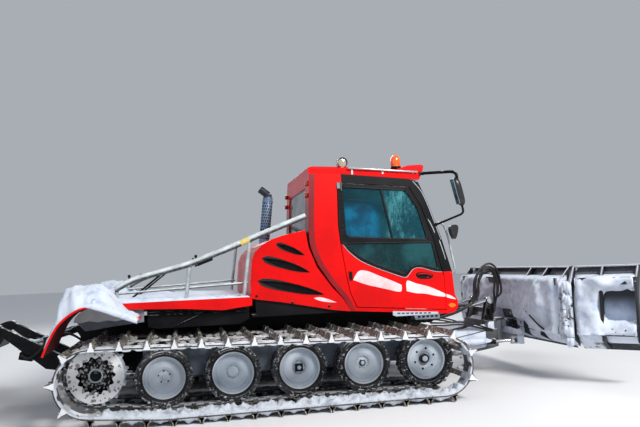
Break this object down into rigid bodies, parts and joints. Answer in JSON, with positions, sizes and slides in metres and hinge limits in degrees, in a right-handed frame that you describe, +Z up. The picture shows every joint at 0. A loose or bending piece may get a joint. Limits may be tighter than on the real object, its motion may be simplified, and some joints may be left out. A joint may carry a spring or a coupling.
{
  "type": "tracked snow groomer",
  "caption": "Tracked snow groomer with a winged front blade on a push frame, two-seat cab with doors, engine hood, rail-sided load deck and a raised rear tiller with finisher.",
  "frame": {"origin": "on the ground under the middle of the machine's bounding box", "axes": "+X forward towards the blade, +Y to the machine's left, +Z up"},
  "size_m": [9.0272, 4.6404, 3.035],
  "materials": {
    "red_paint": "gloss",
    "black_paint": "satin",
    "blade_paint": "satin",
    "engine_grey": "matt",
    "beam_grey": "satin",
    "rim_grey": "satin",
    "track_belt": "matt",
    "tyre_rubber": "matt",
    "rail_steel": "satin",
    "stack_steel": "satin",
    "window_glass": "tinted",
    "seat_cloth": "matt",
    "dash_plastic": "matt",
    "mirror_plastic": "matt",
    "lamp_metal": "satin",
    "panel_grey": "satin",
    "beacon_amber": "gloss",
    "rod_chrome": "polished",
    "tine_steel": "worn",
    "finisher_plastic": "matt"
  },
  "bodies": {
    "chassis": {"hull": "black_paint", "engine": "engine_grey", "wheel_beams": "beam_grey", "track_left": "track_belt", "track_right": "track_belt", "tyres": "tyre_rubber", "rims": "rim_grey", "sprockets": "rim_grey", "load_deck": "red_paint", "fenders": "red_paint", "deck_rails": "rail_steel", "hood_sides": "red_paint", "hood_top": "red_paint", "exhaust_stack": "stack_steel", "cab_body": "red_paint", "cab_nose": "red_paint", "cab_floor": "black_paint", "cab_roof": "red_paint", "cab_windows": "window_glass", "seats": "seat_cloth", "dashboard": "dash_plastic", "mirrors": "mirror_plastic", "roof_lamps": "lamp_metal", "beacon": "beacon_amber", "marker_lamps": "beacon_amber", "side_panels": "panel_grey"},
    "door_left": {"door_frame_left": "black_paint", "door_panel_left": "red_paint", "door_glass_left": "window_glass"},
    "door_right": {"door_frame_right": "black_paint", "door_panel_right": "red_paint", "door_glass_right": "window_glass"},
    "push_frame": {"push_frame": "black_paint"},
    "blade_carrier": {"blade_carrier": "black_paint"},
    "blade": {"blade": "blade_paint"},
    "wing_left": {"wing_left": "blade_paint"},
    "wing_right": {"wing_right": "blade_paint"},
    "lift_barrels": {"lift_barrels": "black_paint"},
    "lift_rods": {"lift_rods": "rod_chrome"},
    "angle_barrel_left": {"angle_barrel_left": "black_paint"},
    "angle_rod_left": {"angle_rod_left": "rod_chrome"},
    "angle_barrel_right": {"angle_barrel_right": "black_paint"},
    "angle_rod_right": {"angle_rod_right": "rod_chrome"},
    "rear_lift": {"rear_lift": "black_paint"},
    "rear_barrels": {"rear_barrels": "black_paint"},
    "rear_rods": {"rear_rods": "rod_chrome"},
    "tiller": {"tiller_housing": "black_paint", "finisher": "finisher_plastic"},
    "tiller_shaft": {"tiller_shaft": "tine_steel"}
  },
  "joints": [
    {"name": "push_lift", "type": "hinge", "parent": "chassis", "child": "push_frame", "pos_m": [2.16137, 0, 0.43], "axis": [0, -1, 0], "range_deg": [-12.5, 14]},
    {"name": "lift_barrel_swing", "type": "hinge", "parent": "chassis", "child": "lift_barrels", "pos_m": [2.16137, 0, 0.745], "axis": [0, -1, 0], "range_deg": [-13.55, 15.14]},
    {"name": "lift_rod_slide", "type": "slide", "parent": "lift_barrels", "child": "lift_rods", "axis": [0.9777, 0, 0.2101], "range_m": [-0.0761, 0.0682]},
    {"name": "blade_angle", "type": "hinge", "parent": "push_frame", "child": "blade_carrier", "pos_m": [3.59137, 0, 0.45], "axis": [0, 0, 1], "range_deg": [-22, 22]},
    {"name": "angle_barrel_left_swing", "type": "hinge", "parent": "push_frame", "child": "angle_barrel_left", "pos_m": [2.79137, 0.54, 0.45], "axis": [0, 0, 1], "range_deg": [-1.65, 1.65]},
    {"name": "angle_rod_left_slide", "type": "slide", "parent": "angle_barrel_left", "child": "angle_rod_left", "axis": [0.9997, 0.026, 0], "range_m": [-0.2113, 0.2113]},
    {"name": "angle_barrel_right_swing", "type": "hinge", "parent": "push_frame", "child": "angle_barrel_right", "pos_m": [2.79137, -0.54, 0.45], "axis": [0, 0, 1], "range_deg": [-1.65, 1.65]},
    {"name": "angle_rod_right_slide", "type": "slide", "parent": "angle_barrel_right", "child": "angle_rod_right", "axis": [0.9997, -0.026, 0], "range_m": [-0.2113, 0.2113]},
    {"name": "blade_tilt", "type": "hinge", "parent": "blade_carrier", "child": "blade", "pos_m": [3.69137, 0, 0.6], "axis": [1, 0, 0], "range_deg": [-6, 6]},
    {"name": "wing_left_fold", "type": "hinge", "parent": "blade", "child": "wing_left", "pos_m": [3.76137, 1.63, 0.9], "axis": [0, 0, -1], "range_deg": [-35, 15]},
    {"name": "wing_right_fold", "type": "hinge", "parent": "blade", "child": "wing_right", "pos_m": [3.76137, -1.63, 0.9], "axis": [0, 0, 1], "range_deg": [-35, 15]},
    {"name": "rear_lift_swing", "type": "hinge", "parent": "chassis", "child": "rear_lift", "pos_m": [-2.27863, 0, 0.47], "axis": [0, 1, 0], "range_deg": [-12, 10]},
    {"name": "rear_barrel_swing", "type": "hinge", "parent": "chassis", "child": "rear_barrels", "pos_m": [-2.24363, 0, 0.93], "axis": [0, 1, 0], "range_deg": [-9.31, 7.81]},
    {"name": "rear_rod_slide", "type": "slide", "parent": "rear_barrels", "child": "rear_rods", "axis": [-0.9639, 0, -0.2664], "range_m": [-0.077, 0.092]},
    {"name": "tiller_tilt", "type": "hinge", "parent": "rear_lift", "child": "tiller", "pos_m": [-3.18863, 0, 0.985], "axis": [0, 1, 0], "range_deg": [-6, 6]},
    {"name": "tiller_spin", "type": "hinge", "parent": "tiller", "child": "tiller_shaft", "pos_m": [-3.85863, 0, 0.7], "axis": [0, 1, 0], "continuous": true},
    {"name": "door_right_swing", "type": "hinge", "parent": "chassis", "child": "door_right", "pos_m": [1.04937, -1.052, 0.93], "axis": [0, -0.0523, -0.9986], "range_deg": [0, 70]},
    {"name": "door_left_swing", "type": "hinge", "parent": "chassis", "child": "door_left", "pos_m": [1.04937, 1.052, 0.93], "axis": [0, -0.0523, 0.9986], "range_deg": [0, 70]}
  ],
  "couplings": [
    {"joint": "lift_barrel_swing", "follows": "push_lift", "ratio": 1.0601},
    {"joint": "lift_rod_slide", "follows": "push_lift", "m_per_rad": -0.30332},
    {"joint": "angle_barrel_left_swing", "follows": "blade_angle", "ratio": -0.0614},
    {"joint": "angle_rod_left_slide", "follows": "blade_angle", "m_per_rad": -0.54522},
    {"joint": "angle_barrel_right_swing", "follows": "blade_angle", "ratio": -0.0614},
    {"joint": "angle_rod_right_slide", "follows": "blade_angle", "m_per_rad": 0.54522},
    {"joint": "rear_barrel_swing", "follows": "rear_lift_swing", "ratio": 0.75093},
    {"joint": "rear_rod_slide", "follows": "rear_lift_swing", "m_per_rad": -0.42977}
  ]
}
